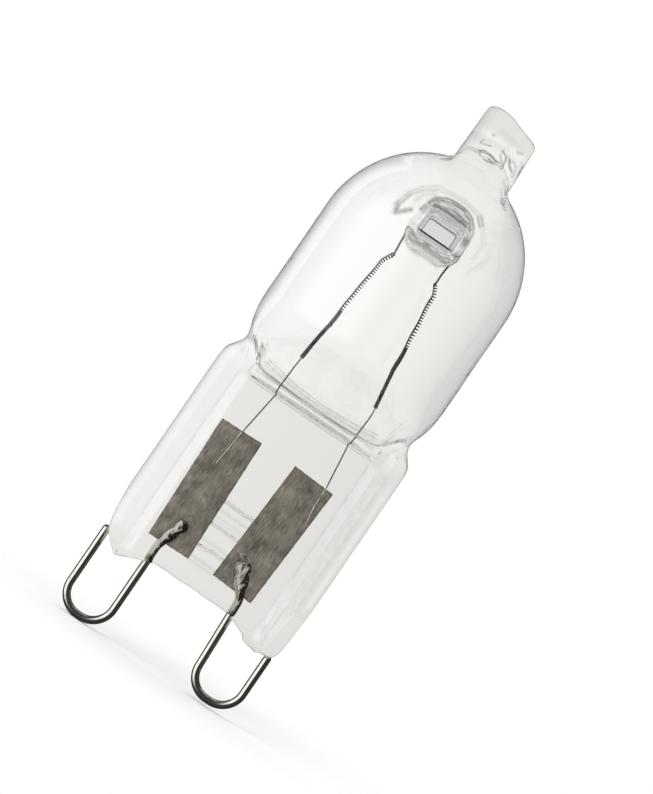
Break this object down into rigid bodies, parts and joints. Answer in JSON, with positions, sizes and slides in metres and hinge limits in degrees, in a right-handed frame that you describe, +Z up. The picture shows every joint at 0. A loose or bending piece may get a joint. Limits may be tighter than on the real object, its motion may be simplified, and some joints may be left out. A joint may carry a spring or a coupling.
{
  "type": "halogen capsule lamp",
  "caption": "Clear quartz capsule lamp with a ribbed press seal, looped contact pins, sealed-in foils and a coiled filament held in a bridge of glass between dimples.",
  "frame": {"origin": "on the lamp's axis, level with the lowest point of the looped pins", "axes": "+Z up the axis from the pins to the tip, X across the two pins, Y through the flat of the seal with the front towards -Y"},
  "size_m": [0.0146, 0.014, 0.043],
  "materials": {
    "quartz": "fire-polished",
    "foil": "rolled, dull",
    "pin_wire": "drawn, polished",
    "lead_wire": "drawn",
    "tungsten": "drawn, coiled"
  },
  "bodies": {
    "root": {"quartz_envelope": "quartz", "foil_left": "foil", "foil_right": "foil", "pin_left": "pin_wire", "pin_right": "pin_wire", "lead_left": "lead_wire", "lead_right": "lead_wire", "filament": "tungsten"}
  },
  "joints": []
}
